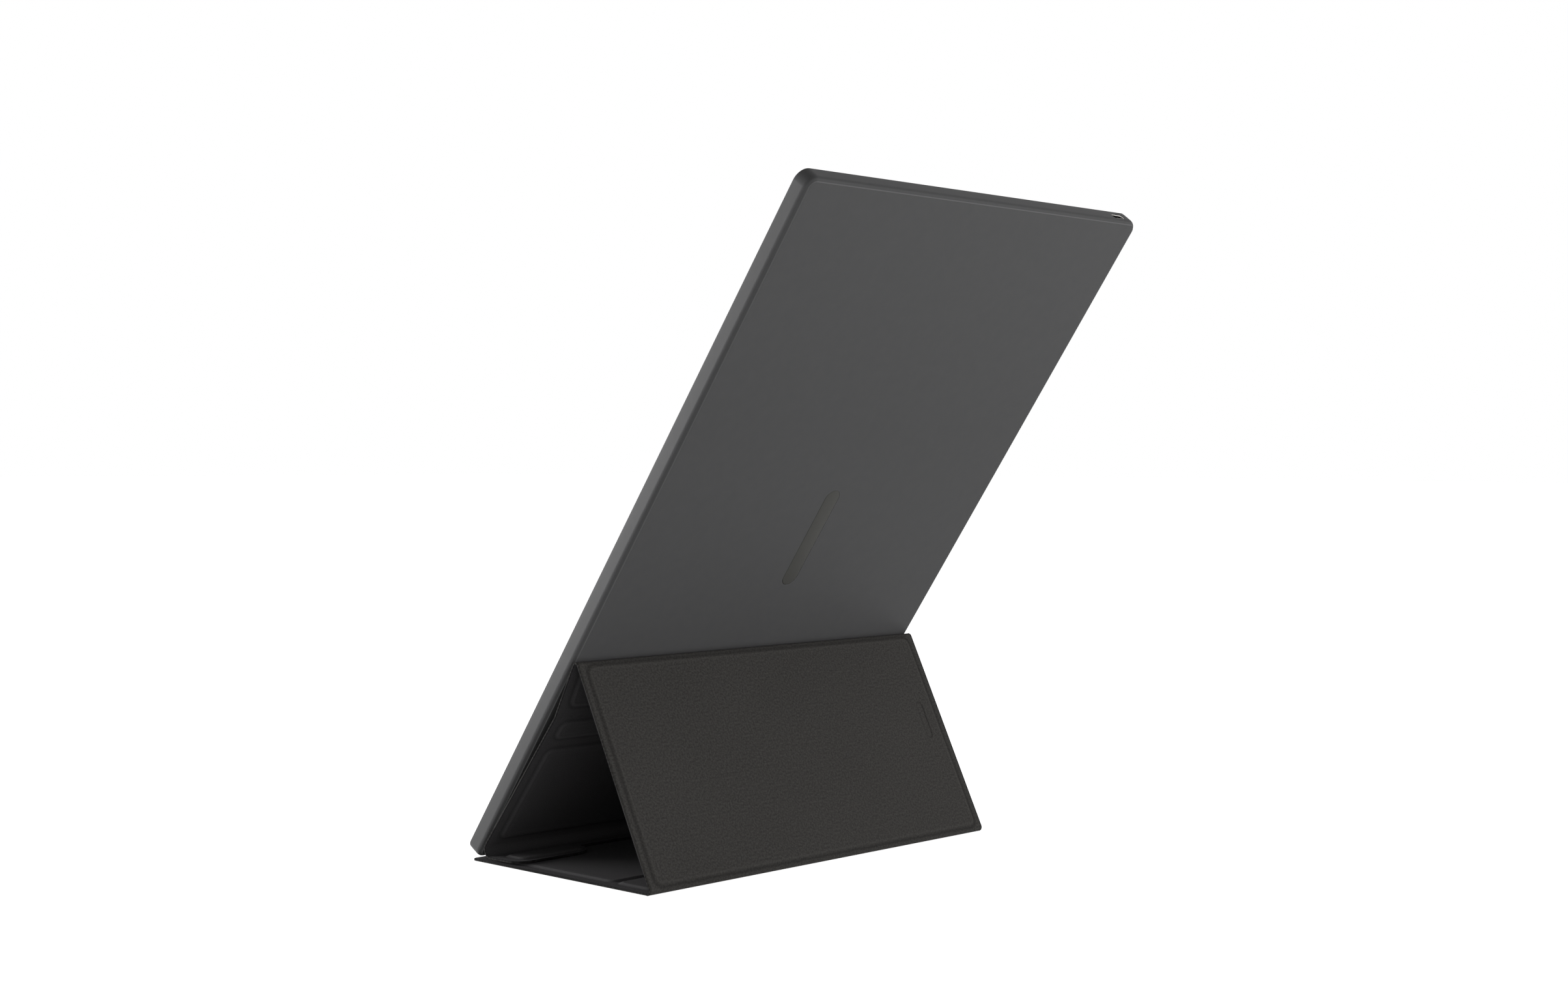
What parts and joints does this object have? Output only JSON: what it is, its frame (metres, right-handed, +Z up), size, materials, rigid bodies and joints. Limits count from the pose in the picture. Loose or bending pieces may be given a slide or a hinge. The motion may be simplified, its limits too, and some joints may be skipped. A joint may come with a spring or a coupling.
{
  "type": "portable monitor with cover",
  "caption": "Slim portable monitor standing upright on a leather cover folded into a three-sided stand, with folding panels, lift-off screen and two buttons.",
  "frame": {"origin": "middle of the underside of the cover's base panel, on the surface that it stands on", "axes": "+X along the folds, to the right seen from the screen side; +Y to the rear, away from the screen; +Z up"},
  "size_m": [0.2264, 0.2121, 0.3],
  "materials": {
    "case_metal": "matt anodised dark grey",
    "inlay": "plain satin inlay",
    "bezel": "fine textured",
    "screen": "anti-glare satin",
    "film": "satin film",
    "clear_plastic": "clear",
    "dark_plastic": "moulded",
    "steel": "bright",
    "circuit_board": "solder mask",
    "flat_cable": "satin film",
    "soft_pad": "soft",
    "button": "moulded",
    "leather": "fine-grained",
    "lining": "brushed microfibre",
    "card": "pressed board",
    "magnet": "nickel plated"
  },
  "bodies": {
    "base": {"base_skin": "leather", "base_board": "card", "base_rear_board": "card", "base_lining": "lining", "base_magnets": "magnet", "rear_fold": "leather"},
    "rear_panel": {"rear_skin": "leather", "rear_board": "card", "rear_lining": "lining", "ridge_fold": "leather"},
    "front_panel": {"upper_skin": "leather", "upper_board": "card", "upper_lining": "lining", "spine_skin": "leather", "spine_board": "card", "spine_lining": "lining", "front_skin": "leather", "front_board": "card", "front_lining": "lining", "front_magnets": "magnet", "curl_fold": "leather"},
    "flap": {"flap_skin": "leather", "flap_board": "card", "flap_lining": "lining", "flap_magnets": "magnet"},
    "monitor": {"back_cover": "case_metal", "back_inlay": "inlay", "front_bezel": "bezel", "lcd_cell": "screen", "prism_film": "film", "diffuser_film": "film", "light_guide": "clear_plastic", "reflector_film": "film", "led_bar": "film", "panel_frame": "dark_plastic", "panel_tray": "steel", "driver_board": "circuit_board", "display_cable": "flat_cable", "insulating_sheet": "dark_plastic", "main_board": "circuit_board", "video_chip": "dark_plastic", "thermal_pad": "soft_pad", "shield_can": "steel", "port_shell": "steel", "port_tongue": "dark_plastic", "button_board": "circuit_board", "dome_switches": "steel", "indicator_pipe": "clear_plastic", "board_screws": "steel", "holding_plate": "steel"},
    "power_key": {"power_button": "button"},
    "menu_key": {"menu_button": "button"}
  },
  "joints": [
    {"name": "rear_fold_hinge", "type": "hinge", "parent": "base", "child": "rear_panel", "pos_m": [0, 0.0575, 0.0023], "axis": [1, 0, 0], "range_deg": [0, 38]},
    {"name": "ridge_hinge", "type": "hinge", "parent": "rear_panel", "child": "front_panel", "pos_m": [0, 0.01161, 0.09387], "axis": [1, 0, 0], "range_deg": [-72.55, 0.5]},
    {"name": "curl_hinge", "type": "hinge", "parent": "front_panel", "child": "flap", "pos_m": [0, -0.04679, 0.0066], "axis": [1, 0, 0], "range_deg": [-0.5, 34.55]},
    {"name": "monitor_lift", "type": "slide", "parent": "front_panel", "child": "monitor", "axis": [0, -0.8181, 0.575], "range_m": [0, 0.04]},
    {"name": "power_press", "type": "slide", "parent": "monitor", "child": "power_key", "axis": [0, 0.8181, -0.575], "range_m": [0, 0.0004], "stiffness_N_per_m": 600, "springref_m": -0.001},
    {"name": "menu_press", "type": "slide", "parent": "monitor", "child": "menu_key", "axis": [0, 0.8181, -0.575], "range_m": [0, 0.0004], "stiffness_N_per_m": 600, "springref_m": -0.001}
  ],
  "couplings": [
    {"joint": "ridge_hinge", "follows": "rear_fold_hinge", "ratio": -1.896},
    {"joint": "curl_hinge", "follows": "rear_fold_hinge", "ratio": 0.896}
  ]
}
